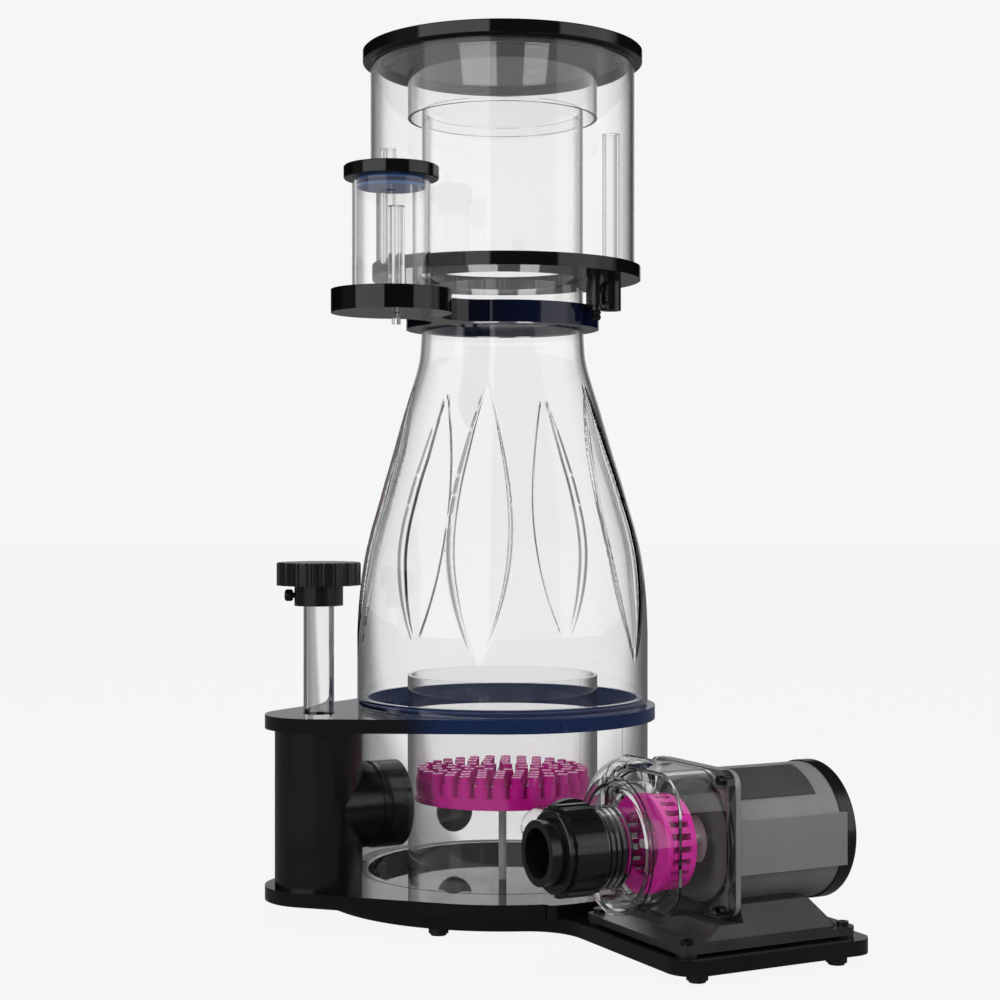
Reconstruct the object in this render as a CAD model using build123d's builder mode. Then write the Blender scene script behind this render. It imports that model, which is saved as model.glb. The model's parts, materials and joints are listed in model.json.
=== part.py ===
"""Protein skimmer that stands in the sump of a marine aquarium.

Z is up, the floor is at z = 0 and the axis of the skimmer's round body is the Z axis.
The water outlet riser stands on the -X side, and the pump lies on the -Y side with its
shaft along X. All sizes are in millimetres.
"""
import os
from math import atan2, cos, degrees, hypot, radians, sin

from build123d import *

os.makedirs("parts", exist_ok=True)

# ---- driving dimensions -------------------------------------------------------------
PLATE = 10.0                    # thickness of the acrylic plates
WALL = 3.0                      # wall of the large acrylic tubes
GAP = 0.3                       # air between pieces that come apart
SEAL_GAP = 0.05                 # an O-ring just clears what slides past it

FOOT_HEIGHT = 6.5
FOOT_R = 7.0
LOWER_PLATE_R = 137.6
DECK_HOLE_R = 102.0
PLATFORM_LEFT, PLATFORM_RIGHT, PLATFORM_FRONT = -26.0, 125.0, -292.6

BODY_R = 110.0                  # outside of the tank and of the foot of the body
RING_R = 115.5
RING_TOP = 149.6
INNER_R, INNER_TOP = 72.0, 171.8
NECK_R = 61.5                   # outside of the neck of the body
SHOULDER_Z, NECK_Z = 205.0, 427.0
COLLAR_LOW, COLLAR_TOP, COLLAR_R = 433.0, 449.0, 73.1
COLLAR_STEP = 440.0             # the cup's neck stands on this step in the collar

RISER = (-150.0, 0.0)
RISER_R, RISER_LOBE_R = 31.7, 38.8
OUTLET_Z, OUTLET_END = 81.0, -88.0
STEM_R = 11.0
HUB_LOW, HUB_TOP, HUB_R = 227.7, 242.4, 17.6
KNOB_TOP, KNOB_R = 259.0, 30.4

BUBBLE_Z, BUBBLE_R = 78.5, 67.0
PIN_STEP, PIN_TOP = 95.5, 102.0

SILENCER = (-130.2, -83.9)
SILENCER_R, SILENCER_LOBE_R = 27.0, 41.8
SILENCER_TOP, SILENCER_LID_TOP, SILENCER_LID_R = 525.0, 534.5, 33.0
NOTCH_R = 30.0                  # concave sides between the collar and the silencer
TUBE_A, TUBE_B = (-129.9, -77.8), (-129.4, -90.4)
NIPPLE_R, NIPPLE_LENGTH = 3.2, 8.0

CUP_FLOOR_LOW, CUP_FLOOR_TOP, CUP_FLOOR_R = 470.4, 480.2, 104.7
CUP_R, CUP_TOP = 100.0, 633.8
CUP_NECK_R, CUP_NECK_TOP = 61.2, 597.6
LID_R, LID_TOP = 106.0, 644.0
DEFLECTOR_R, DEFLECTOR_LOW = 71.9, 592.8
STANDPIPE = (69.3, -44.6)
STANDPIPE_TOP = 580.0
DRAIN = (40.1, -72.0)

PUMP_Y, PUMP_Z = -220.4, 78.5
VOLUTE_FRONT, VOLUTE_BACK, VOLUTE_HALF, VOLUTE_MID_Z = -34.0, 28.0, 48.0, 81.0
CHAMBER_FRONT = -12.0           # the volute turns from round to square here
MOTOR_R, MOTOR_END, CAP_END, PANEL_END = 46.0, 117.0, 129.0, 120.0
PIPE_R, PIPE_WALL = 15.0, 2.5
PIPE_X, PIPE_Y, PIPE_HIGH, PIPE_LOW_Z = 11.5, -145.0, 111.5, 67.0
INLET_X = -5.0                  # where the discharge pipe enters the tank

LOWER_TOP = FOOT_HEIGHT + PLATE
DECK_TOP = LOWER_TOP + PLATE
RING_LOW = RING_TOP - PLATE
BODY_IN = BODY_R - WALL
PUMP_PLANE = Plane((0, PUMP_Y, PUMP_Z), x_dir=(0, 1, 0), z_dir=(1, 0, 0))


# ---- helpers ------------------------------------------------------------------------
def finish(piece, name):
    """Label a finished piece and write its STEP file."""
    piece.part.label = name
    export_step(piece.part, f"parts/{name}.step")


def across(x):
    """The plane across the pump's shaft at x, its local axes along Y and Z."""
    return PUMP_PLANE.offset(x)


def ring(plane, r_out, r_in, length, at=(0, 0), mode=Mode.ADD):
    """Add a tube, or a disc when r_in is 0, to the piece that is being built."""
    with BuildSketch(plane) as section:
        with Locations(at):
            Circle(r_out)
            if r_in > 0:
                Circle(r_in, mode=Mode.SUBTRACT)
    extrude(section.sketch, amount=length, mode=mode)


def upright(r_out, r_in, low, high, at=(0, 0), mode=Mode.ADD):
    """Add an upright tube or disc between two heights."""
    ring(Plane.XY.offset(low), r_out, r_in, high - low, at, mode)


def along_x(r_out, r_in, low, high, mode=Mode.ADD):
    """Add a tube or disc around the pump's shaft between two values of x."""
    ring(across(low), r_out, r_in, high - low, (0, 0), mode)


def tube(name, r_out, r_in, low, high, at=(0, 0)):
    """A piece that is one plain upright tube."""
    with BuildPart() as piece:
        upright(r_out, r_in, low, high, at)
    finish(piece, name)


def o_ring(name, centre_r, section_r, z, at=(0, 0)):
    """A round-section seal that lies level."""
    with BuildPart() as seal:
        with BuildSketch(Plane.XZ) as section:
            with Locations((centre_r, z)):
                Circle(section_r)
        revolve(section.sketch, axis=Axis.Z)
    seal.part.locate(Location((*at, 0)))
    finish(seal, name)


def lobed(low, high, big_r, lobe_at, lobe_r, centre=(0, 0)):
    """Add a plate shaped like a disc and a smaller lobe with straight sides between."""
    with BuildSketch(Plane.XY.offset(low)) as outline:
        with Locations(centre):
            Circle(big_r)
        with Locations(lobe_at):
            Circle(lobe_r)
        make_hull()
    extrude(outline.sketch, amount=high - low)


def waisted(low, high, big_r, lobe_at, lobe_r, notch_r):
    """Add a plate shaped like a disc and a smaller lobe with concave sides between."""
    span = hypot(*lobe_at)
    along = ((big_r + notch_r) ** 2 - (lobe_r + notch_r) ** 2 + span ** 2) / (2 * span)
    aside = ((big_r + notch_r) ** 2 - along ** 2) ** 0.5
    ux, uy = lobe_at[0] / span, lobe_at[1] / span
    notches = [(along * ux - side * uy, along * uy + side * ux)
               for side in (aside, -aside)]
    with BuildSketch(Plane.XY.offset(low)) as outline:
        with BuildLine():
            Polyline((0, 0), notches[0], lobe_at, notches[1], close=True)
        make_face()
        Circle(big_r)
        with Locations(lobe_at):
            Circle(lobe_r)
        with Locations(*notches):
            Circle(notch_r, mode=Mode.SUBTRACT)
    extrude(outline.sketch, amount=high - low)


def corner(sketch, x, y, radius):
    """Round the corner of a flat outline that is nearest to x, y."""
    nearest = sketch.vertices().sort_by(lambda v: hypot(v.X - x, v.Y - y))[0]
    fillet(nearest, radius)


# ---- base: plates, feet, tank -------------------------------------------------------
FEET = [(-6.6, -278.8), (100.3, -281.2), (-93.9, -83.5), (-93.9, 83.5), (93.9, 83.5),
        (112.0, -60.0), (0.0, 0.0)]
with BuildPart() as lower_base_plate:
    with BuildSketch(Plane.XY.offset(FOOT_HEIGHT)) as outline:
        Circle(LOWER_PLATE_R)
        with Locations(((PLATFORM_LEFT + PLATFORM_RIGHT) / 2, PLATFORM_FRONT / 2)):
            Rectangle(PLATFORM_RIGHT - PLATFORM_LEFT, -PLATFORM_FRONT)
        corner(outline, PLATFORM_LEFT, -LOWER_PLATE_R, 40)
        corner(outline, PLATFORM_RIGHT, -57.5, 30)
        corner(outline, PLATFORM_LEFT, PLATFORM_FRONT, 18)
        corner(outline, PLATFORM_RIGHT, PLATFORM_FRONT, 15)
    extrude(amount=PLATE)
finish(lower_base_plate, "lower_base_plate")

with BuildPart() as base_feet:
    for spot in FEET:
        with BuildSketch(Plane.XY) as pad:
            with Locations(spot):
                Circle(FOOT_R - 1.5)
        extrude(pad.sketch, amount=FOOT_HEIGHT)
        upright(FOOT_R, 0, 1.5, FOOT_HEIGHT, spot)
finish(base_feet, "base_feet")

with BuildPart() as upper_base_plate:
    lobed(LOWER_TOP, DECK_TOP, 131.0, RISER, RISER_LOBE_R, centre=(-7, -13.5))
    with BuildSketch(Plane.XY.offset(LOWER_TOP)) as front:
        with Locations((15, -120)):
            RectangleRounded(110, 55, 6)
    extrude(front.sketch, amount=PLATE)
    upright(DECK_HOLE_R, 0, LOWER_TOP, DECK_TOP, mode=Mode.SUBTRACT)
finish(upper_base_plate, "upper_base_plate")

PORT_ANGLE, PORT_Z, PORT_R = 84.5, 51.7, 12.0
PORT_DIR = (cos(radians(PORT_ANGLE)), sin(radians(PORT_ANGLE)), 0)
PORT_PLANE = Plane((0, 0, PORT_Z), x_dir=(0, 0, 1), z_dir=PORT_DIR)
INLET_PLANE = Plane((INLET_X, 0, PIPE_LOW_Z), x_dir=(0, 0, 1), z_dir=(0, -1, 0))
OUTLET_PLANE = Plane((0, 0, OUTLET_Z), x_dir=(0, 1, 0), z_dir=(-1, 0, 0))
with BuildPart() as tank_tube:
    upright(BODY_R, BODY_IN, DECK_TOP, RING_LOW)
    ring(OUTLET_PLANE, RISER_R, 0, 130, mode=Mode.SUBTRACT)
    ring(PORT_PLANE, PORT_R, 0, 130, mode=Mode.SUBTRACT)
    ring(INLET_PLANE, PIPE_R, 0, 130, mode=Mode.SUBTRACT)
finish(tank_tube, "tank_tube")

with BuildPart() as inner_tube:
    upright(INNER_R, INNER_R - WALL, LOWER_TOP, INNER_TOP)
    ring(INLET_PLANE, PIPE_R, 0, 130, mode=Mode.SUBTRACT)
finish(inner_tube, "inner_tube")

tube("support_rod", 3.0, 0, LOWER_TOP, BUBBLE_Z)

PIN_RINGS = [(61.0, 30), (50.0, 24), (39.0, 18), (28.0, 12), (17.0, 7)]
with BuildPart() as bubble_plate:
    upright(BUBBLE_R, 0, BUBBLE_Z, BUBBLE_Z + 4)
    upright(BUBBLE_R - 1.5, 0, BUBBLE_Z + 4, BUBBLE_Z + 8)
    for z_low, z_high, pin_r in [(BUBBLE_Z + 8, PIN_STEP, 5.2), (PIN_STEP, PIN_TOP, 3.7)]:
        with BuildSketch(Plane.XY.offset(z_low)) as pins:
            for ring_r, count in PIN_RINGS:
                with PolarLocations(ring_r, count):
                    Circle(pin_r)
        extrude(pins.sketch, amount=z_high - z_low)
    with BuildSketch(Plane.XY.offset(BUBBLE_Z)) as bores:
        for ring_r, count in PIN_RINGS:
            with PolarLocations(ring_r, count):
                Circle(1.6)
    extrude(bores.sketch, amount=PIN_TOP - BUBBLE_Z, mode=Mode.SUBTRACT)
finish(bubble_plate, "bubble_plate")

SPIGOT_R, SPIGOT_TOP = BODY_IN - 0.5, RING_TOP + 6
with BuildPart() as ring_plate:
    lobed(RING_LOW, RING_TOP, RING_R, RISER, RISER_LOBE_R)
    upright(SPIGOT_R, 0, RING_TOP, SPIGOT_TOP)
    upright(DECK_HOLE_R, 0, RING_LOW, SPIGOT_TOP, mode=Mode.SUBTRACT)
    upright(SPIGOT_R + 1, SPIGOT_R - 2.4, RING_TOP + 2, RING_TOP + 5, mode=Mode.SUBTRACT)
    upright(STEM_R + 0.4, 0, RING_LOW, RING_TOP, RISER, mode=Mode.SUBTRACT)
finish(ring_plate, "ring_plate")
o_ring("body_seal_ring", BODY_IN - SEAL_GAP - 1.4, 1.4, RING_TOP + 3.5)

# ---- water outlet -------------------------------------------------------------------
RISER_IN = RISER_R - WALL
WINDOW_LOW, WINDOW_HIGH = 58.0, 104.0
SOCKET_LENGTH = 23.0
RISER_BACK = Plane((*RISER, 0), x_dir=(1, 0, 0), z_dir=(0, 1, 0))
with BuildPart() as riser_pipe:
    upright(RISER_R, RISER_IN, DECK_TOP, RING_LOW, RISER)
    ring(Plane((RISER[0], 0, OUTLET_Z), x_dir=(0, 1, 0), z_dir=(1, 0, 0)),
         25.0, 0, 60, mode=Mode.SUBTRACT)
    with BuildSketch(RISER_BACK) as window:
        with Locations((0, -(WINDOW_LOW + WINDOW_HIGH) / 2)):
            Rectangle(34, WINDOW_HIGH - WINDOW_LOW)
    extrude(window.sketch, amount=40, mode=Mode.SUBTRACT)
finish(riser_pipe, "riser_pipe")

with BuildPart() as outlet_pipe:
    ring(OUTLET_PLANE.offset(-OUTLET_END), RISER_R, RISER_IN, SOCKET_LENGTH)
    ring(OUTLET_PLANE.offset(-OUTLET_END), RISER_R - 0.8, RISER_IN, OUTLET_END - RISER[0])
    upright(RISER_R, 0, DECK_TOP, RING_LOW, RISER, mode=Mode.SUBTRACT)
finish(outlet_pipe, "outlet_pipe")

SLEEVE_R, SLEEVE_LOW, SLEEVE_TOP = RISER_IN - 0.5, DECK_TOP + 1, 128.0
with BuildPart() as regulator_sleeve:
    upright(SLEEVE_R, SLEEVE_R - 2.5, SLEEVE_LOW, SLEEVE_TOP, RISER)
    upright(SLEEVE_R - 1, STEM_R, SLEEVE_TOP - 4, SLEEVE_TOP, RISER)
    ring(Plane((RISER[0], 0, OUTLET_Z), x_dir=(0, 1, 0), z_dir=(1, 0, 0)),
         24.0, 0, 60, mode=Mode.SUBTRACT)
    with BuildSketch(RISER_BACK) as window:
        with Locations((0, -(WINDOW_LOW + WINDOW_HIGH) / 2)):
            Rectangle(30, WINDOW_HIGH - WINDOW_LOW - 4)
    extrude(window.sketch, amount=40, mode=Mode.SUBTRACT)
finish(regulator_sleeve, "regulator_sleeve")

tube("regulator_tube", STEM_R, STEM_R - 2.5, SLEEVE_TOP - 4, HUB_LOW, RISER)

SCREW_Z = (HUB_LOW + HUB_TOP) / 2
SCREW_DIR = (-0.887, 0.4617, 0)
SCREW_PLANE = Plane((*RISER, SCREW_Z), x_dir=(0, 0, 1), z_dir=SCREW_DIR)
with BuildPart() as regulator_knob:
    upright(HUB_R, 0, HUB_LOW, HUB_TOP, RISER)
    with BuildSketch(Plane.XY.offset(HUB_TOP)) as grip:
        with Locations(RISER):
            Circle(KNOB_R)
            with PolarLocations(KNOB_R + 1.6, 20):
                Circle(3.0, mode=Mode.SUBTRACT)
    extrude(grip.sketch, amount=KNOB_TOP - HUB_TOP)
    chamfer(regulator_knob.faces().sort_by(Axis.Z)[-1].outer_wire().edges(), 1.0)
    ring(SCREW_PLANE, 2.3, 0, HUB_R + 1, mode=Mode.SUBTRACT)
finish(regulator_knob, "regulator_knob")

with BuildPart() as knob_thumb_screw:
    ring(SCREW_PLANE.offset(4), 2.0, 0, HUB_R + 2 - 4)
    with BuildSketch(SCREW_PLANE.offset(HUB_R + 1)) as head:
        Circle(4.3)
    extrude(head.sketch, amount=6)
    fillet(knob_thumb_screw.edges().filter_by(GeomType.CIRCLE).group_by(
        SortBy.RADIUS)[-1], 1.8)
finish(knob_thumb_screw, "knob_thumb_screw")

# ---- cleaning port in the back of the tank ------------------------------------------
with BuildPart() as rear_port_bushing:
    ring(PORT_PLANE.offset(104), PORT_R, 9.5, 8)
    ring(PORT_PLANE.offset(110.8), 16.6, 9.5, 5.2)
finish(rear_port_bushing, "rear_port_bushing")
with BuildPart() as rear_port_plug:
    ring(PORT_PLANE.offset(104), 9.1, 0, 13)
    ring(PORT_PLANE.offset(116.5), 13.5, 0, 6)
    with BuildSketch(PORT_PLANE.offset(122.5)) as wing:
        RectangleRounded(4, 22, 1.8)
    extrude(wing.sketch, amount=8)
finish(rear_port_plug, "rear_port_plug")

# ---- reaction body ------------------------------------------------------------------
# radius at height: the shoulder draws in to the straight neck
CURVE = [(BODY_R, SHOULDER_Z), (104.9, 263.0), (90.1, 317.7), (73.7, 372.4),
         (NECK_R + 1.0, 410.0), (NECK_R, NECK_Z)]
NECK_TOP = COLLAR_LOW + 3
INNER_CURVE = [(BODY_IN, SHOULDER_Z), (102.0, 262.3), (87.3, 316.8), (70.9, 371.5),
               (NECK_R - WALL + 0.9, 409.6), (NECK_R - WALL, NECK_Z)]
with BuildPart() as body_dome:
    with BuildSketch(Plane.XZ) as section:
        with BuildLine():
            Line((BODY_R, RING_TOP + GAP), CURVE[0])
            Spline(*CURVE, tangents=[(0, 1), (0, 1)])
            Polyline(CURVE[-1], (NECK_R, NECK_TOP), (NECK_R - WALL, NECK_TOP),
                     INNER_CURVE[-1])
            Spline(*INNER_CURVE, tangents=[(0, 1), (0, 1)])
            Polyline(INNER_CURVE[0], (BODY_IN, RING_TOP + GAP), (BODY_R, RING_TOP + GAP))
        make_face()
    revolve(section.sketch, axis=Axis.Z)
finish(body_dome, "body_dome")

with BuildPart() as collar_plate:
    waisted(COLLAR_LOW, COLLAR_TOP, COLLAR_R, SILENCER, SILENCER_LOBE_R, NOTCH_R)
    upright(NECK_R, 0, COLLAR_LOW, NECK_TOP, mode=Mode.SUBTRACT)
    upright(NECK_R - WALL, 0, NECK_TOP, COLLAR_STEP, mode=Mode.SUBTRACT)
    upright(CUP_NECK_R + 0.5, 0, COLLAR_STEP, COLLAR_TOP, mode=Mode.SUBTRACT)
    upright(CUP_NECK_R + 3, CUP_NECK_R, 443.0, 446.0, mode=Mode.SUBTRACT)
    upright(NIPPLE_R - 0.2, 0, COLLAR_LOW, COLLAR_TOP, TUBE_B, mode=Mode.SUBTRACT)
finish(collar_plate, "collar_plate")
o_ring("collar_seal", CUP_NECK_R + SEAL_GAP + 1.4, 1.4, 444.5)

# ---- air silencer -------------------------------------------------------------------
tube("silencer_tube", SILENCER_R, SILENCER_R - 2.5, COLLAR_TOP, SILENCER_TOP, SILENCER)
with BuildPart() as silencer_lid:
    upright(SILENCER_LID_R, 0, SILENCER_TOP + GAP, SILENCER_LID_TOP, SILENCER)
    chamfer(silencer_lid.edges().filter_by(GeomType.CIRCLE), 0.8)
    upright(SILENCER_R - 3.5, 0, SILENCER_TOP - 6, SILENCER_TOP + GAP, SILENCER)
    upright(SILENCER_R - 2, SILENCER_R - 5.5, 521.0, 523.6, SILENCER, Mode.SUBTRACT)
    upright(5.2, 0, 515, SILENCER_LID_TOP, TUBE_A, Mode.SUBTRACT)
finish(silencer_lid, "silencer_lid")
o_ring("silencer_seal", SILENCER_R - 2.5 - SEAL_GAP - 1.2, 1.2, 522.3, SILENCER)
with BuildPart() as silencer_inlet_tube:
    upright(5.2, 4.0, 467.7, SILENCER_LID_TOP, TUBE_A)
    upright(5.5, 4.0, SILENCER_LID_TOP, 547.0, TUBE_A)
finish(silencer_inlet_tube, "silencer_inlet_tube")
with BuildPart() as silencer_outlet_tube:
    upright(5.8, 2.0, COLLAR_TOP, 506.0, TUBE_B)
    upright(NIPPLE_R - 0.2, 2.0, COLLAR_LOW, COLLAR_TOP, TUBE_B)
    upright(NIPPLE_R, 2.0, COLLAR_LOW - NIPPLE_LENGTH, COLLAR_LOW, TUBE_B)
finish(silencer_outlet_tube, "silencer_outlet_tube")

# ---- foam cup -----------------------------------------------------------------------
with BuildPart() as cup_floor:
    upright(CUP_FLOOR_R, CUP_NECK_R, CUP_FLOOR_LOW, CUP_FLOOR_TOP)
    for spot in (STANDPIPE, DRAIN):
        upright(4.7, 0, CUP_FLOOR_LOW, CUP_FLOOR_TOP, spot, Mode.SUBTRACT)
finish(cup_floor, "cup_floor")
tube("cup_neck_tube", CUP_NECK_R, CUP_NECK_R - 2.5, COLLAR_STEP + GAP, CUP_NECK_TOP)
tube("cup_wall", CUP_R, CUP_R - WALL, CUP_FLOOR_TOP, CUP_TOP)
tube("cup_standpipe", 6.7, 4.7, CUP_FLOOR_TOP, STANDPIPE_TOP, STANDPIPE)
tube("standpipe_nut", 7.5, 4.7, 447.0, CUP_FLOOR_LOW, STANDPIPE)

DRAIN_OUT = degrees(atan2(DRAIN[1], DRAIN[0]))
LEVER_Z = 459.0
LEVER_DIR = (cos(radians(DRAIN_OUT)), sin(radians(DRAIN_OUT)), 0)
LEVER_PLANE = Plane((*DRAIN, LEVER_Z), x_dir=(0, 0, 1), z_dir=LEVER_DIR)
with BuildPart() as drain_valve:
    upright(7.3, 3.2, 447.0, CUP_FLOOR_LOW, DRAIN)
    ring(LEVER_PLANE.offset(3.5), 4.6, 0, 5.5)
    upright(3.2, 0, 440.0, 475.0, DRAIN, Mode.SUBTRACT)
    ring(LEVER_PLANE.offset(5.5), 1.6, 0, 5, mode=Mode.SUBTRACT)
finish(drain_valve, "drain_valve")
with BuildPart() as drain_barb:
    upright(4.4, 2.4, 443.5, 447.0, DRAIN)
    for low in (436.5, 440.0):
        with BuildSketch(Plane.XZ) as barb:
            with BuildLine():
                Polyline((2.4, low), (3.0, low), (3.9, low + 2.4), (3.2, low + 3.5),
                         (2.4, low + 3.5), close=True)
            make_face()
        profile = revolve(barb.sketch, axis=Axis.Z, mode=Mode.PRIVATE)
        add(profile.moved(Location((*DRAIN, 0))))
finish(drain_barb, "drain_barb")
with BuildPart() as drain_lever:
    ring(LEVER_PLANE.offset(6), 1.5, 0, 4)
    with BuildSketch(LEVER_PLANE.offset(9.5)) as wing:
        with Locations((-3, 0)):
            SlotOverall(17, 5)
    extrude(wing.sketch, amount=2.5)
finish(drain_lever, "drain_lever")

VENT_COUNT, VENT_R, VENT_HOLE_R = 12, 87.5, 3.6
with BuildPart() as cup_lid:
    upright(LID_R, 0, CUP_TOP + GAP, LID_TOP)
    chamfer(cup_lid.edges().filter_by(GeomType.CIRCLE), 0.8)
    with BuildSketch(Plane.XY.offset(CUP_TOP)) as vents:
        with PolarLocations(VENT_R, VENT_COUNT):
            Circle(VENT_HOLE_R)
    extrude(vents.sketch, amount=20, mode=Mode.SUBTRACT)
finish(cup_lid, "cup_lid")
tube("lid_deflector", DEFLECTOR_R, DEFLECTOR_R - 2.5, DEFLECTOR_LOW, CUP_TOP + GAP)
tube("lid_gasket", CUP_R - WALL - 0.4, CUP_R - WALL - 4, CUP_TOP - 3.5, CUP_TOP + GAP)

# ---- pump ---------------------------------------------------------------------------
RIM_CORNER = 10.0
RIM_MID = VOLUTE_MID_Z - PUMP_Z
# the fourth corner is held by the spout
RIM_SCREWS = [(-42, RIM_MID + 42), (-42, RIM_MID - 42), (42, RIM_MID - 42)]
BASE_LOW, BASE_HIGH = LOWER_TOP + 1.5, 42.0
SCREW_SPOTS = [(-12.0, -275.0), (-12.0, -166.0), (110.0, -275.0), (110.0, -166.0)]
with BuildPart() as pump_base:
    with BuildSketch(Plane.XY.offset(BASE_LOW)) as flange:
        with Locations((49, -220.5)):
            RectangleRounded(138, 123, 8)
    extrude(flange.sketch, amount=5)
    with BuildSketch(Plane.XY.offset(BASE_LOW + 5)) as foot:
        with Locations((55, -220.5)):
            RectangleRounded(104, 106, 2)
    with BuildSketch(Plane.XY.offset(BASE_HIGH)) as saddle:
        with Locations((60, -220.5)):
            RectangleRounded(60, 88, 2)
    loft([foot.sketch, saddle.sketch])
    with BuildSketch(Plane.XY.offset(BASE_HIGH)) as pump_side:
        with Locations((0, -220.5)):
            Rectangle(70, 130)
    extrude(pump_side.sketch, amount=BASE_HIGH - 31, dir=(0, 0, -1), mode=Mode.SUBTRACT)
    along_x(MOTOR_R, 0, 20, 140, mode=Mode.SUBTRACT)
    with BuildSketch(Plane.XY.offset(BASE_LOW)) as screw_holes:
        with Locations(*SCREW_SPOTS):
            Circle(2.2)
    extrude(screw_holes.sketch, amount=5, mode=Mode.SUBTRACT)
finish(pump_base, "pump_base")

with BuildPart() as pump_pads:
    for spot in SCREW_SPOTS:
        upright(7, 2.2, LOWER_TOP, BASE_LOW, spot)
finish(pump_pads, "pump_pads")
with BuildPart() as pump_base_screws:
    for spot in SCREW_SPOTS:
        upright(4.0, 0, BASE_LOW + 5, BASE_LOW + 8, spot)
        upright(2.2, 0, LOWER_TOP, BASE_LOW + 5, spot)
        upright(1.7, 0, BASE_LOW + 6.5, BASE_LOW + 8, spot, Mode.SUBTRACT)
finish(pump_base_screws, "pump_base_screws")

MOTOR_BORE, PANEL_HIGH = 41.0, 35.0
with BuildPart() as motor_housing:
    along_x(MOTOR_R, 0, VOLUTE_BACK + 2, MOTOR_END)
    with BuildSketch(across(VOLUTE_BACK + 2)) as panels:
        Rectangle(94, PANEL_HIGH)
    extrude(panels.sketch, amount=PANEL_END - VOLUTE_BACK - 2)
    with BuildSketch(across(VOLUTE_BACK + 2)) as flange:
        with Locations((0, RIM_MID)):
            RectangleRounded(2 * VOLUTE_HALF - 1, 2 * VOLUTE_HALF - 1, RIM_CORNER)
        with Locations(*RIM_SCREWS):
            Circle(1.6, mode=Mode.SUBTRACT)
    extrude(flange.sketch, amount=4)
    along_x(MOTOR_BORE, 0, VOLUTE_BACK + 6, PANEL_END, mode=Mode.SUBTRACT)
    along_x(17.2, 0, VOLUTE_BACK, 60, mode=Mode.SUBTRACT)
finish(motor_housing, "motor_housing")

GLAND_ANGLE = -40.0             # degrees from level, on the side away from the front
GLAND_PLANE = Plane((CAP_END - 6, PUMP_Y, PUMP_Z), x_dir=(1, 0, 0),
                    z_dir=(0, cos(radians(GLAND_ANGLE)), sin(radians(GLAND_ANGLE))))
with BuildPart() as motor_end_cap:
    along_x(MOTOR_R + 1, 0, MOTOR_END, CAP_END)
    fillet(motor_end_cap.faces().sort_by(Axis.X)[-1].edges(), 3)
    with BuildSketch(across(MOTOR_END)) as notches:
        Rectangle(110, PANEL_HIGH + 2 * GAP)
        Circle(MOTOR_BORE - GAP, mode=Mode.SUBTRACT)
    extrude(notches.sketch, amount=PANEL_END - MOTOR_END + GAP, mode=Mode.SUBTRACT)
    ring(GLAND_PLANE, 5.8, 0, 49)
    ring(GLAND_PLANE, 4.0, 0, 50, mode=Mode.SUBTRACT)
finish(motor_end_cap, "motor_end_cap")

with BuildPart() as cable_gland:
    with BuildSketch(GLAND_PLANE.offset(49)) as hexagon:
        RegularPolygon(5.8, 6)
    extrude(hexagon.sketch, amount=7)
    ring(GLAND_PLANE.offset(56), 4.4, 0, 7)
    ring(GLAND_PLANE.offset(44), 2.6, 0, 22, mode=Mode.SUBTRACT)
finish(cable_gland, "cable_gland")

LABEL_MID = 120.0               # degrees round the shaft from +Y towards +Z
with BuildPart() as label_plate:
    with BuildSketch(across(42)) as band:
        Circle(MOTOR_R + 0.8)
        Circle(MOTOR_R, mode=Mode.SUBTRACT)
        with BuildLine():
            far = [(80 * cos(radians(LABEL_MID + a)), 80 * sin(radians(LABEL_MID + a)))
                   for a in (-20, 20)]
            Polyline((0, 0), far[0], far[1], close=True)
        make_face(mode=Mode.INTERSECT)
    extrude(band.sketch, amount=60)
finish(label_plate, "label_plate")

with BuildPart() as stator:
    along_x(40.8, 17.3, 46, 106)
    with BuildSketch(across(46)) as slots:
        with PolarLocations(30, 6):
            RectangleRounded(12, 9, 2)
    extrude(slots.sketch, amount=60, mode=Mode.SUBTRACT)
finish(stator, "stator")
with BuildPart() as stator_can:
    along_x(17.2, 15.8, VOLUTE_BACK + 2, 112)
    along_x(17.2, 0, 112, 114)
finish(stator_can, "stator_can")
with BuildPart() as shaft_bearings:
    along_x(15.8, 3.05, 32, 38)
    along_x(15.8, 3.05, 104, 110)
finish(shaft_bearings, "shaft_bearings")
with BuildPart() as impeller_shaft:
    along_x(3.0, 0, -10, 110.5)
finish(impeller_shaft, "impeller_shaft")
with BuildPart() as rotor_magnet:
    along_x(14.0, 3.0, 42, 100)
finish(rotor_magnet, "rotor_magnet")

CAGE_SLOTS = 24
with BuildPart() as impeller:
    along_x(33.0, 21, -13, -9)
    along_x(31.7, 27, -9, 7)
    along_x(31.7, 3.0, 7, 10)
    along_x(7, 3.0, -8, 7)
    with BuildSketch(across(-8)) as slots:
        with PolarLocations(30, CAGE_SLOTS):
            Rectangle(8, 4.2)
    extrude(slots.sketch, amount=14, mode=Mode.SUBTRACT)
finish(impeller, "impeller")

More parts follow.
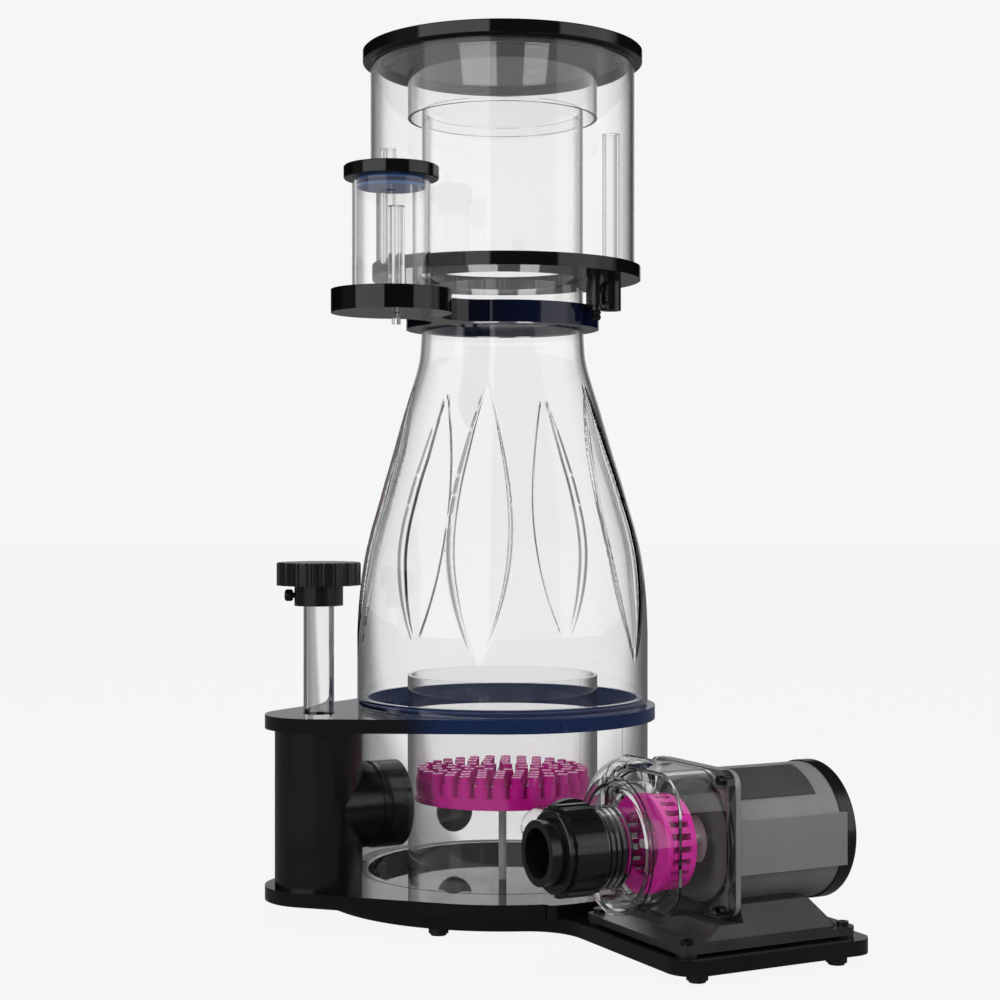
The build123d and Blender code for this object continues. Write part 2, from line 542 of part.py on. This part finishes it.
NECK_OUT, NECK_BORE, NECK_END = 26.0, 20.8, -70.0
with BuildPart() as volute_housing:
    with BuildSketch(across(CHAMBER_FRONT)) as box_outline:
        with Locations((0, RIM_MID)):
            RectangleRounded(2 * VOLUTE_HALF - 4, 2 * VOLUTE_HALF - 2, 26)
    extrude(box_outline.sketch, amount=VOLUTE_BACK - CHAMBER_FRONT - 4)
    with BuildSketch(across(VOLUTE_BACK - 4)) as rim:
        with Locations((0, RIM_MID)):
            RectangleRounded(2 * VOLUTE_HALF, 2 * VOLUTE_HALF, RIM_CORNER)
    extrude(rim.sketch, amount=6)
    along_x(45, 0, VOLUTE_FRONT, VOLUTE_FRONT + 4)
    along_x(42, 0, VOLUTE_FRONT + 4, CHAMBER_FRONT)
    spout = Plane((PIPE_X, -212, PIPE_HIGH), x_dir=(1, 0, 0), z_dir=(0, 1, 0))
    ring(spout, PIPE_R + 2.5, 0, 49)
    along_x(39, 0, VOLUTE_FRONT + 3, CHAMBER_FRONT + 4, mode=Mode.SUBTRACT)
    with BuildSketch(across(CHAMBER_FRONT + 3)) as chamber:
        with Locations((0, RIM_MID)):
            RectangleRounded(2 * VOLUTE_HALF - 10, 2 * VOLUTE_HALF - 8, 23)
    extrude(chamber.sketch, amount=VOLUTE_BACK - CHAMBER_FRONT - 4, mode=Mode.SUBTRACT)
    along_x(17.2, 0, VOLUTE_BACK - 1, VOLUTE_BACK + 3, mode=Mode.SUBTRACT)
    along_x(NECK_BORE, 0, VOLUTE_FRONT, VOLUTE_FRONT + 5, mode=Mode.SUBTRACT)
    ring(spout.offset(-2), 11, 0, 60, mode=Mode.SUBTRACT)
    ring(spout.offset(35), PIPE_R, 0, 30, mode=Mode.SUBTRACT)
    along_x(46, 42.4, VOLUTE_BACK - 0.5, VOLUTE_BACK + 2, mode=Mode.SUBTRACT)
    with BuildSketch(across(VOLUTE_BACK - 4)) as rim_holes:
        with Locations(*RIM_SCREWS):
            Circle(1.6)
    extrude(rim_holes.sketch, amount=6, mode=Mode.SUBTRACT)
finish(volute_housing, "volute_housing")

with BuildPart() as volute_neck:
    along_x(NECK_OUT, 0, NECK_END, VOLUTE_FRONT)
    for low in range(-50, -37, 4):
        along_x(NECK_OUT + 1.4, 0, low, low + 2)
    along_x(NECK_BORE, 0, NECK_END, VOLUTE_FRONT, mode=Mode.SUBTRACT)
finish(volute_neck, "volute_neck")

with BuildPart() as volute_seal:
    along_x(45.9, 42.5, VOLUTE_BACK - 0.5, VOLUTE_BACK + 2)
finish(volute_seal, "volute_seal")

with BuildPart() as volute_screws:
    for spot in RIM_SCREWS:
        ring(across(VOLUTE_BACK - 8), 3.2, 1.2, 4, spot)
        ring(across(VOLUTE_BACK - 7), 3.2, 0, 3, spot)
        ring(across(VOLUTE_BACK - 4), 1.6, 0, 10, spot)
finish(volute_screws, "volute_screws")

with BuildPart() as inlet_stub:
    along_x(21.2, 16.2, -90, -72.5)
    along_x(26.0, 16.2, -76.5, -72.5)
    along_x(20.5, 16.2, -72.5, -36)
finish(inlet_stub, "inlet_stub")
with BuildPart() as union_seal:
    along_x(25.5, 20.8, -72.5, NECK_END)
finish(union_seal, "union_seal")
with BuildPart() as union_nut:
    along_x(26.8, 0, -80.5, -76)
    with BuildSketch(across(-76)) as ribs:
        Circle(28.6)
        with PolarLocations(28.6, 20):
            Rectangle(2.6, 4.6)
    extrude(ribs.sketch, amount=22)
    along_x(27.6, 0, -54, -52.5)
    chamfer(union_nut.faces().sort_by(Axis.X)[0].outer_wire().edges(), 0.8)
    along_x(NECK_OUT + 0.5, 0, -77, -52, mode=Mode.SUBTRACT)
    along_x(21.6, 0, -82, -57, mode=Mode.SUBTRACT)
finish(union_nut, "union_nut")

# ---- discharge pipe from the pump into the tank -------------------------------------
BEND = 18.0
PIPE_POINTS = [(PIPE_X, -177, PIPE_HIGH), (PIPE_X, PIPE_Y, PIPE_HIGH),
               (INLET_X, PIPE_Y, PIPE_LOW_Z), (INLET_X, -49, PIPE_LOW_Z)]
with BuildPart() as discharge_pipe:
    with BuildLine():
        FilletPolyline(*PIPE_POINTS, radius=BEND)
    with BuildSketch(Plane(PIPE_POINTS[0], x_dir=(1, 0, 0), z_dir=(0, 1, 0))):
        Circle(PIPE_R)
        Circle(PIPE_R - PIPE_WALL, mode=Mode.SUBTRACT)
    sweep()
    upright(INNER_R - WALL, 0, PIPE_LOW_Z - 20, PIPE_LOW_Z + 20, mode=Mode.SUBTRACT)
finish(discharge_pipe, "discharge_pipe")
with BuildPart() as tank_inlet_flange:
    ring(INLET_PLANE.offset(90), 26, PIPE_R, 25)
    upright(BODY_R, 0, DECK_TOP, RING_LOW, mode=Mode.SUBTRACT)
finish(tank_inlet_flange, "tank_inlet_flange")
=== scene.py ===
"""Looks of the protein skimmer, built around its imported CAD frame. Metres, Z up."""
import json
import math

import bmesh
import bpy
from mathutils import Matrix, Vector


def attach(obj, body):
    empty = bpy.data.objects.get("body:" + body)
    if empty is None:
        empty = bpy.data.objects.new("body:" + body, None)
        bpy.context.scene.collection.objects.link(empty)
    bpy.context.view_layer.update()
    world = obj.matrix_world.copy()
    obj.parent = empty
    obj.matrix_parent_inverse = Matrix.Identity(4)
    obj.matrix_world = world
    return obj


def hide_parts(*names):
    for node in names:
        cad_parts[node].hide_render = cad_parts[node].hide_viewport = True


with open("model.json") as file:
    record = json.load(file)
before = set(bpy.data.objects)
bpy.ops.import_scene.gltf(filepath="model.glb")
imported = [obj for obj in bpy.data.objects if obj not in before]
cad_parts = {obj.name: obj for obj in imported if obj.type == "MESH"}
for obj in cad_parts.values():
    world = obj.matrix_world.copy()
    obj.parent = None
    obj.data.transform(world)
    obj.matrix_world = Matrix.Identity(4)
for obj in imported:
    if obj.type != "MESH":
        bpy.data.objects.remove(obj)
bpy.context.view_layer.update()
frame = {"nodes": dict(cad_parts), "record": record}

MM = 0.001
SCENE = bpy.context.scene

# ---- camera: level, at the photograph's angle ---------------------------------------
VIEW_ANGLE = math.radians(27.5)         # the object is turned this far from square-on
CAMERA_DISTANCE = 1.4744
CAMERA_HEIGHT = 0.304
LENS = 69.84
FORWARD = Vector((math.sin(VIEW_ANGLE), math.cos(VIEW_ANGLE), 0.0))
RIGHT = Vector((math.cos(VIEW_ANGLE), -math.sin(VIEW_ANGLE), 0.0))


def make_camera():
    data = bpy.data.cameras.new("camera")
    data.lens = LENS
    data.sensor_width = 36.0
    data.shift_x = -0.0025
    camera = bpy.data.objects.new("camera", data)
    SCENE.collection.objects.link(camera)
    camera.location = -FORWARD * CAMERA_DISTANCE + Vector((0, 0, CAMERA_HEIGHT))
    camera.rotation_euler = (math.radians(90), 0, -VIEW_ANGLE)
    SCENE.camera = camera


# ---- node helpers -------------------------------------------------------------------
def new_material(name):
    material = bpy.data.materials.new(name)
    material.use_nodes = True
    nodes = material.node_tree.nodes
    nodes.clear()
    output = nodes.new("ShaderNodeOutputMaterial")
    shader = nodes.new("ShaderNodeBsdfPrincipled")
    material.node_tree.links.new(shader.outputs["BSDF"], output.inputs["Surface"])
    return material, nodes, material.node_tree.links, shader


def noise(nodes, links, scale, detail=3.0, stretch=(1, 1, 1)):
    """A noise texture in object space; returns its factor socket."""
    place = nodes.new("ShaderNodeTexCoord")
    mapping = nodes.new("ShaderNodeMapping")
    mapping.inputs["Scale"].default_value = stretch
    texture = nodes.new("ShaderNodeTexNoise")
    texture.inputs["Scale"].default_value = scale
    texture.inputs["Detail"].default_value = detail
    links.new(place.outputs["Object"], mapping.inputs["Vector"])
    links.new(mapping.outputs["Vector"], texture.inputs["Vector"])
    return texture.outputs["Fac"]


def ramp(nodes, links, factor, low, high, start=0.3, end=0.7):
    """A two-stop colour ramp driven by a factor; returns its colour socket."""
    node = nodes.new("ShaderNodeValToRGB")
    node.color_ramp.elements[0].position = start
    node.color_ramp.elements[1].position = end
    node.color_ramp.elements[0].color = (*low, 1)
    node.color_ramp.elements[1].color = (*high, 1)
    links.new(factor, node.inputs["Fac"])
    return node.outputs["Color"]


def grey(value):
    return (value, value, value)


def colour_sockets(sockets):
    """The colour sockets among a Mix node's inputs or outputs, in order."""
    return [one for one in sockets if one.type == "RGBA"]


def colour_mix(nodes, kind="MIX", factor=None):
    """A colour Mix node; returns it with its two colour inputs and its output."""
    node = nodes.new("ShaderNodeMix")
    node.data_type = "RGBA"
    node.blend_type = kind
    if factor is not None:
        node.inputs["Factor"].default_value = factor
    first, second = colour_sockets(node.inputs)
    return node, first, second, colour_sockets(node.outputs)[0]


def leaning(nodes, links, place, direction):
    """How far a vector leans toward a fixed direction, from -1 to 1 for unit vectors."""
    dot = nodes.new("ShaderNodeVectorMath")
    dot.operation = "DOT_PRODUCT"
    dot.inputs[1].default_value = direction
    links.new(place, dot.inputs[0])
    return dot.outputs["Value"]


def grey_stops(nodes, links, lean, points):
    """Grey levels along a lean of -1 to 1, which is read as positions 0 to 1."""
    shifted = nodes.new("ShaderNodeMapRange")
    shifted.inputs["From Min"].default_value = -1
    links.new(lean, shifted.inputs["Value"])
    node = nodes.new("ShaderNodeValToRGB")
    elements = node.color_ramp.elements
    while len(elements) < len(points):
        elements.new(0.5)
    for element, (position, value) in zip(elements, points):
        element.position = position
        element.color = (*grey(value), 1)
    links.new(shifted.outputs["Result"], node.inputs["Fac"])
    return node.outputs["Color"]


def spread(nodes, links, factor, low, high):
    """Turn a 0..1 factor into a number between low and high."""
    node = nodes.new("ShaderNodeMapRange")
    node.inputs["To Min"].default_value = low
    node.inputs["To Max"].default_value = high
    links.new(factor, node.inputs["Value"])
    return node.outputs["Result"]


def bump(nodes, links, shader, factor, strength, distance):
    node = nodes.new("ShaderNodeBump")
    node.inputs["Strength"].default_value = strength
    node.inputs["Distance"].default_value = distance
    links.new(factor, node.inputs["Height"])
    links.new(node.outputs["Normal"], shader.inputs["Normal"])


# ---- materials ----------------------------------------------------------------------
def polished(name, low, high, roughness=(0.03, 0.09), specular=0.5):
    """Polished cast plastic: deep even colour with faint clouding and wipe marks."""
    material, nodes, links, shader = new_material(name)
    cloud = noise(nodes, links, 18, 4)
    links.new(ramp(nodes, links, cloud, low, high), shader.inputs["Base Color"])
    wipe = noise(nodes, links, 60, 6, (1, 1, 0.2))
    links.new(spread(nodes, links, wipe, *roughness), shader.inputs["Roughness"])
    shader.inputs["Specular IOR Level"].default_value = specular
    shader.inputs["IOR"].default_value = 1.49
    return material


def moulded(name, low, high, roughness=(0.28, 0.42), grain=900, strength=0.12):
    """Injection-moulded plastic: satin, with a very fine grain."""
    material, nodes, links, shader = new_material(name)
    cloud = noise(nodes, links, 25, 5)
    links.new(ramp(nodes, links, cloud, low, high), shader.inputs["Base Color"])
    fine = noise(nodes, links, grain, 2)
    links.new(spread(nodes, links, fine, *roughness), shader.inputs["Roughness"])
    bump(nodes, links, shader, fine, strength, 0.0002)
    return material


def clear(name, low, high, roughness=(0.0, 0.02), ior=1.49):
    """Clear acrylic: transmits, with the faintest clouding and polish marks, and painted shade
    on walls seen edge-on.
    """
    material, nodes, links, shader = new_material(name)
    cloud = noise(nodes, links, 9, 3)
    # painted shade: a wall seen edge-on darkens by its facing, standing in for the dark sides
    # seen through its edges as well as the longer path through the wall
    edge = nodes.new("ShaderNodeLayerWeight")
    painted_edge_shade = ramp(nodes, links, edge.outputs["Facing"], grey(1.0), grey(0.4), 0.5, 0.95)
    # the clouded tint is multiplied by the painted edge shade
    _, first, second, tint_and_painted_edge_shade = colour_mix(nodes, "MULTIPLY", 1.0)
    links.new(ramp(nodes, links, cloud, low, high), first)
    links.new(painted_edge_shade, second)
    links.new(tint_and_painted_edge_shade, shader.inputs["Base Color"])
    wipe = noise(nodes, links, 45, 5, (1, 1, 0.15))
    links.new(spread(nodes, links, wipe, *roughness), shader.inputs["Roughness"])
    shader.inputs["Transmission Weight"].default_value = 1.0
    shader.inputs["IOR"].default_value = ior
    return material


def tinted(name, low, high, roughness=(0.06, 0.16), through=0.45):
    """Coloured plastic that lets some light through, glossy with faint clouding."""
    material, nodes, links, shader = new_material(name)
    cloud = noise(nodes, links, 30, 4)
    links.new(ramp(nodes, links, cloud, low, high), shader.inputs["Base Color"])
    wipe = noise(nodes, links, 80, 5)
    links.new(spread(nodes, links, wipe, *roughness), shader.inputs["Roughness"])
    shader.inputs["Transmission Weight"].default_value = through
    shader.inputs["IOR"].default_value = 1.49
    return material


def brushed(name, low, high):
    """Turned stainless steel."""
    material, nodes, links, shader = new_material(name)
    lines = noise(nodes, links, 300, 3, (1, 1, 8))
    links.new(ramp(nodes, links, lines, low, high), shader.inputs["Base Color"])
    links.new(spread(nodes, links, lines, 0.2, 0.4), shader.inputs["Roughness"])
    shader.inputs["Metallic"].default_value = 1.0
    return material


BLACK = polished("black_acrylic", grey(0.0015), grey(0.004), (0.015, 0.05))
NAVY = polished("navy_acrylic", (0.003, 0.010, 0.045), (0.006, 0.018, 0.075), (0.08, 0.2))


def two_colour(name, axis, start, end, before, after, shape="LINEAR",
               roughness=(0.02, 0.07)):
    """Polished acrylic that changes colour from start to end along one object axis."""
    material, nodes, links, shader = new_material(name)
    place = nodes.new("ShaderNodeTexCoord")
    split = nodes.new("ShaderNodeSeparateXYZ")
    links.new(place.outputs["Object"], split.inputs[0])
    reach = nodes.new("ShaderNodeMapRange")
    reach.interpolation_type = shape
    reach.inputs["From Min"].default_value = start
    reach.inputs["From Max"].default_value = end
    links.new(split.outputs[axis], reach.inputs["Value"])
    links.new(ramp(nodes, links, reach.outputs["Result"], before, after, 0.0, 1.0),
              shader.inputs["Base Color"])
    wipe = noise(nodes, links, 60, 6, (1, 1, 0.2))
    links.new(spread(nodes, links, wipe, *roughness), shader.inputs["Roughness"])
    shader.inputs["IOR"].default_value = 1.49
    return material


def navy_fade(name, dark, blue, start, end):
    """Black on the riser's side, fading to blue from start to end of x."""
    return two_colour(name, "X", start, end, dark, blue, "SMOOTHSTEP")


def blue_plug(name, top):
    """Blue below a height and black above it."""
    blue, black = (0.03, 0.085, 0.24), grey(0.0025)
    return two_colour(name, "Z", top, top + 0.0002, blue, black, roughness=(0.03, 0.08))


RING_BLUE = navy_fade("ring_acrylic", grey(0.0025), (0.004, 0.014, 0.055), -0.118, -0.085)
COLLAR_BLUE = navy_fade("collar_acrylic", grey(0.002), (0.003, 0.005, 0.02), -0.09, 0.0)
CLEAR = clear("clear_acrylic", grey(0.982), grey(0.994))
PLUG_BLUE = blue_plug("plug_acrylic", 0.52512)
SMOKE = clear("smoked_acrylic", grey(0.84), grey(0.9), (0.0, 0.03))
MAGENTA = tinted("magenta_plastic", (0.52, 0.006, 0.25), (0.72, 0.02, 0.38), through=0.2)
RUBBER = moulded("black_rubber", grey(0.004), grey(0.008), (0.45, 0.6), 500, 0.1)
PVC = moulded("black_pvc", grey(0.003), grey(0.006), (0.16, 0.24), 60, 0.02)
ROD = moulded("grey_rod", grey(0.38), grey(0.46))
PEDESTAL = moulded("pedestal_grey", grey(0.014), grey(0.022), (0.25, 0.36), 80, 0.03)
MOTOR = moulded("motor_grey", grey(0.14), grey(0.17), (0.34, 0.44), 120, 0.03)
LABEL = moulded("label_grey", grey(0.035), grey(0.05), (0.4, 0.5), 90, 0.03)
STEEL = brushed("dark_steel", grey(0.03), grey(0.06))
EPOXY = moulded("stator_epoxy", grey(0.02), grey(0.03))
CERAMIC = polished("ceramic", (0.62, 0.6, 0.56), (0.74, 0.72, 0.68))
MAGNET = moulded("magnet", grey(0.05), grey(0.08))

SLOT_MATERIAL = {
    "black_acrylic": BLACK, "clear_acrylic": CLEAR, "smoked_acrylic": SMOKE,
    "magenta_plastic": MAGENTA, "navy_seal": NAVY, "black_rubber": RUBBER,
    "black_pvc": PVC, "grey_rod": ROD, "pedestal_grey": PEDESTAL, "motor_grey": MOTOR,
    "label_grey": LABEL, "dark_steel": STEEL, "stator_epoxy": EPOXY, "ceramic": CERAMIC,
    "magnet": MAGNET,
}
NODE_SLOT = {row["node"]: row["material_slot"] for row in frame["record"]["subparts"]}
NODE_MATERIAL = {"ring_plate": RING_BLUE, "collar_plate": COLLAR_BLUE,
                 "silencer_lid": PLUG_BLUE}


def dress_cad_nodes():
    """Give each carried-over CAD node its finished material."""
    for name, node in frame["nodes"].items():
        material = NODE_MATERIAL.get(name, SLOT_MATERIAL[NODE_SLOT[name]])
        for slot in node.material_slots:
            slot.material = material
        node.visible_shadow = material not in (CLEAR, SMOKE)


# ---- mesh helpers -------------------------------------------------------------------
def add_piece(name, mesh, body, material, replaces=(), sharp=35):
    """Link a mesh as a piece of the object that rides on a body."""
    piece = bpy.data.objects.new(name, mesh)
    SCENE.collection.objects.link(piece)
    mesh.materials.clear()
    mesh.materials.append(material)
    for face in mesh.polygons:
        face.use_smooth = True
    mesh.set_sharp_from_angle(angle=math.radians(sharp))
    piece.visible_shadow = material not in (CLEAR, SMOKE)
    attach(piece, body)
    for node in replaces:
        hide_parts(node)
    return piece


# ---- the fluted body ----------------------------------------------------------------
BODY_R, BODY_WALL, NECK_R = 110.0, 3.0, 61.5
FLUTE_ANGLES = [math.radians(a) for a in (233.2, 305.2, 34.0, 103.5, 161.2)]
FLUTE_LOW, FLUTE_HIGH, FLUTE_DEPTH = 188.5, 387.8, 5.5
FLUTE_HALF = math.radians(13.8)
SHAPE = [(205, 110), (226.5, 109.1), (244.7, 107.5), (263, 104.9), (281.2, 100.7),
         (299.4, 95.4), (317.7, 90.1), (335.9, 84.4), (354.2, 79), (372.4, 73.7),
         (390.6, 68), (408.9, 63.1), (427, 61.5)]


def body_radius(z):
    """Outside radius of the clear body at a height, in millimetres."""
    if z <= SHAPE[0][0]:
        return BODY_R
    if z >= SHAPE[-1][0]:
        return NECK_R
    for index in range(len(SHAPE) - 1):
        (z0, r0), (z1, r1) = SHAPE[index], SHAPE[index + 1]
        if z <= z1:
            break
    def slope(i):
        low, high = max(i - 1, 0), min(i + 1, len(SHAPE) - 1)
        return (SHAPE[high][1] - SHAPE[low][1]) / (SHAPE[high][0] - SHAPE[low][0])
    span, t = z1 - z0, (z - z0) / (z1 - z0)
    return ((2 * t ** 3 - 3 * t ** 2 + 1) * r0 + (t ** 3 - 2 * t ** 2 + t) * span * slope(index)
            + (3 * t ** 2 - 2 * t ** 3) * r1 + (t ** 3 - t ** 2) * span * slope(index + 1))


def flute_depth(angle, z):
    """How far the wall is pressed in at an angle and a height."""
    along = (z - FLUTE_LOW) / (FLUTE_HIGH - FLUTE_LOW)
    if not 0 < along < 1:
        return 0.0
    half = FLUTE_HALF * math.sin(math.pi * along) ** 0.8
    off = min(abs((angle - middle + math.pi) % (2 * math.pi) - math.pi)
              for middle in FLUTE_ANGLES)
    if off >= half:
        return 0.0
    across = 1 - (off / half) ** 2
    edge = min(1.0, across * 3.6)
    return FLUTE_DEPTH * edge * edge * (3 - 2 * edge) * min(1.0, half / FLUTE_HALF * 1.3)


def build_body():
    steps, levels = 720, 120
    low, high = 149.9, 436.0
    mesh = bpy.data.meshes.new("body_shell")
    bm = bmesh.new()
    layers = []
    for inset in (0.0, BODY_WALL):
        grid = []
        for level in range(levels + 1):
            z = low + (high - low) * level / levels
            row = []
            for step in range(steps):
                angle = 2 * math.pi * step / steps
                r = body_radius(z) - inset - flute_depth(angle, z)
                row.append(bm.verts.new((r * MM * math.cos(angle),
                                         r * MM * math.sin(angle), z * MM)))
            grid.append(row)
        layers.append(grid)
    for grid in layers:
        for level in range(levels):
            for step in range(steps):
                after = (step + 1) % steps
                bm.faces.new((grid[level][step], grid[level][after],
                              grid[level + 1][after], grid[level + 1][step]))
    for level in (0, levels):
        outer, inner = layers[0][level], layers[1][level]
        for step in range(steps):
            after = (step + 1) % steps
            bm.faces.new((outer[step], outer[after], inner[after], inner[step]))
    bmesh.ops.recalc_face_normals(bm, faces=bm.faces)
    bm.to_mesh(mesh)
    bm.free()
    add_piece("body_shell", mesh, "tower", CLEAR, ["body_dome"], sharp=50)


# ---- studio -------------------------------------------------------------------------
PALE = 0.92                             # the backdrop's level
WORLD_FILL = 0.5                        # studio level that lights matt surfaces
FLOOR_FILL = 0.25                       # floor level that lights the object from below
FLOOR_RADIUS = 12.0
STRIPS = [(-0.15, -0.02), (0.074, 0.165)]   # pale strips on the floor, left and right
STRIPS_START = 2.3                      # how far behind the object the strips begin
STRIP_LEVEL, MIRRORED_FLOOR = 0.8, 0.12

# seen through clear walls: pale, with dark to the left and right
THROUGH = [(0.0, 0.10), (0.30, 0.28), (0.40, 0.45), (0.425, PALE), (0.575, PALE),
           (0.62, 0.42), (0.69, 0.14), (0.8, 0.03), (1.0, 0.03)]
SIDES_BEGIN, SIDES_FULL = 0.70, 0.90    # lean toward FORWARD where the dark sides show


def sideways(nodes, links, place, points):
    """Grey levels by how far a direction leans to the left or right."""
    even = nodes.new("ShaderNodeVectorMath")
    even.operation = "NORMALIZE"
    links.new(place, even.inputs[0])
    direction = even.outputs["Vector"]
    # the dark sides stand only beside the front view, so other views stay pale
    near = nodes.new("ShaderNodeMapRange")
    near.interpolation_type = "SMOOTHSTEP"
    near.inputs["From Min"].default_value = SIDES_BEGIN
    near.inputs["From Max"].default_value = SIDES_FULL
    links.new(leaning(nodes, links, direction, FORWARD), near.inputs["Value"])
    mix, elsewhere, beside, result = colour_mix(nodes)
    elsewhere.default_value = (*grey(PALE), 1)
    links.new(grey_stops(nodes, links, leaning(nodes, links, direction, RIGHT), points),
              beside)
    links.new(near.outputs["Result"], mix.inputs["Factor"])
    return result


def far_panels(nodes, links):
    """What gloss sees of the floor: dark, with two pale strips that begin far behind."""
    place = nodes.new("ShaderNodeTexCoord")

    def combine(operation, first, second):
        node = nodes.new("ShaderNodeMath")
        node.operation = operation
        for socket, value in zip(node.inputs, (first, second)):
            if isinstance(value, float):
                socket.default_value = value
            else:
                links.new(value, socket)
        return node.outputs[0]

    def band(direction, low, high):
        along = leaning(nodes, links, place.outputs["Object"], direction)
        return combine("MULTIPLY", combine("GREATER_THAN", along, low),
                       combine("LESS_THAN", along, high))

    strips = combine("ADD", *(band(RIGHT, low, high) for low, high in STRIPS))
    strips = combine("MULTIPLY", strips, band(FORWARD, STRIPS_START, FLOOR_RADIUS))
    return combine("ADD", combine("MULTIPLY", strips, STRIP_LEVEL), MIRRORED_FLOOR)


def make_floor():
    bpy.ops.mesh.primitive_circle_add(vertices=96, radius=FLOOR_RADIUS, fill_type="NGON")
    floor = bpy.context.object
    floor.name = "floor"
    material = bpy.data.materials.new("floor")
    material.use_nodes = True
    nodes, links = material.node_tree.nodes, material.node_tree.links
    nodes.clear()
    output = nodes.new("ShaderNodeOutputMaterial")
    glow = nodes.new("ShaderNodeEmission")
    glow.inputs["Color"].default_value = (1, 1, 1, 1)
    path = nodes.new("ShaderNodeLightPath")
    # seen directly it is the pale backdrop; it lights the object from below much less
    level = nodes.new("ShaderNodeMix")
    level.inputs["A"].default_value = PALE - 0.02
    level.inputs["B"].default_value = FLOOR_FILL
    links.new(path.outputs["Is Diffuse Ray"], level.inputs["Factor"])
    through = nodes.new("ShaderNodeMix")
    floor_place = nodes.new("ShaderNodeTexCoord")
    links.new(sideways(nodes, links, floor_place.outputs["Object"], THROUGH),
              through.inputs["B"])
    links.new(level.outputs["Result"], through.inputs["A"])
    links.new(path.outputs["Is Transmission Ray"], through.inputs["Factor"])
    # light that was mirrored anywhere on its way sees the dark floor with its strips
    bounced = nodes.new("ShaderNodeMath")
    bounced.operation = "GREATER_THAN"
    bounced.inputs[1].default_value = 0.5
    links.new(path.outputs["Glossy Depth"], bounced.inputs[0])
    mirrored = nodes.new("ShaderNodeMix")
    links.new(far_panels(nodes, links), mirrored.inputs["B"])
    links.new(through.outputs["Result"], mirrored.inputs["A"])
    links.new(bounced.outputs[0], mirrored.inputs["Factor"])
    links.new(mirrored.outputs["Result"], glow.inputs["Strength"])
    matte = nodes.new("ShaderNodeBsdfDiffuse")
    matte.inputs["Color"].default_value = (0.02, 0.02, 0.02, 1)
    both = nodes.new("ShaderNodeAddShader")
    links.new(glow.outputs["Emission"], both.inputs[0])
    links.new(matte.outputs["BSDF"], both.inputs[1])
    links.new(both.outputs["Shader"], output.inputs["Surface"])
    floor.data.materials.append(material)


def make_world():
    """A pale studio, darker to both sides so that clear edges and gloss show."""
    world = bpy.data.worlds.new("studio")
    SCENE.world = world
    world.use_nodes = True
    nodes, links = world.node_tree.nodes, world.node_tree.links
    nodes.clear()
    output = nodes.new("ShaderNodeOutputWorld")
    background = nodes.new("ShaderNodeBackground")
    links.new(background.outputs["Background"], output.inputs["Surface"])
    place = nodes.new("ShaderNodeTexCoord")

    def toward(direction):
        return leaning(nodes, links, place.outputs["Generated"], direction)

    def stops(lean, points):
        return grey_stops(nodes, links, lean, points)

    def blend(kind, first, second):
        _, first_in, second_in, result = colour_mix(nodes, kind, 1.0)
        links.new(first, first_in)
        links.new(second, second_in)
        return result

    # seen in gloss: two broad soft panels on the camera's side, dark between them and
    # to the sides, and a middle grey far behind
    across = toward(RIGHT)
    panels = stops(across, [(0.0, 0.1), (0.035, 0.1), (0.045, 1.5), (0.405, 1.5),
                            (0.42, 0.02), (0.85, 0.03), (0.865, 1.1), (0.99, 1.1),
                            (1.0, 0.4)])
    front = stops(toward(FORWARD), [(0.0, 1.0), (0.52, 1.0), (0.66, 0.0), (1.0, 0.0)])
    behind = stops(toward(FORWARD), [(0.0, 0.0), (0.962, 0.0), (0.985, 0.42),
                                     (1.0, 0.42)])
    gloss = blend("ADD", blend("MULTIPLY", panels, front), behind)
    through = sideways(nodes, links, place.outputs["Generated"], THROUGH)
    path = nodes.new("ShaderNodeLightPath")

    def choose(flag, when_off, when_on):
        node, off_in, on_in, result = colour_mix(nodes)
        links.new(flag, node.inputs["Factor"])
        for target, value in ((off_in, when_off), (on_in, when_on)):
            if isinstance(value, tuple):
                target.default_value = value
            else:
                links.new(value, target)
        return result

    pale, fill = (*grey(PALE), 1), (*grey(WORLD_FILL), 1)
    colour = choose(path.outputs["Is Diffuse Ray"], pale, fill)
    colour = choose(path.outputs["Is Glossy Ray"], colour, gloss)
    colour = choose(path.outputs["Is Transmission Ray"], colour, through)
    links.new(colour, background.inputs["Color"])


def make_lights():
    """Softboxes: two tall ones in front, one overhead."""
    spots = [("left_box", -RIGHT * 1.1 - FORWARD * 1.5 + Vector((0, 0, 0.5)), 0.5, 1.6, 16),
             ("right_box", RIGHT * 1.3 - FORWARD * 1.2 + Vector((0, 0, 0.5)), 0.45, 1.6, 14),
             ("top_box", Vector((0, 0, 2.2)) - FORWARD * 0.4, 1.6, 1.6, 30)]
    for name, place, width, height, power in spots:
        data = bpy.data.lights.new(name, "AREA")
        data.shape = "RECTANGLE"
        data.size, data.size_y = width, height
        data.energy = power
        light = bpy.data.objects.new(name, data)
        SCENE.collection.objects.link(light)
        light.location = place
        light.visible_glossy = False
        light.visible_transmission = False
        aim = Vector((0, 0, 0.3)) - Vector(place)
        light.rotation_euler = aim.to_track_quat("-Z", "Y").to_euler()


make_camera()
make_world()
make_lights()
make_floor()
dress_cad_nodes()
build_body()

SCENE.view_settings.view_transform = "Standard"
SCENE.cycles.max_bounces = 32
SCENE.cycles.transmission_bounces = 32
SCENE.cycles.glossy_bounces = 8
SCENE.cycles.transparent_max_bounces = 32
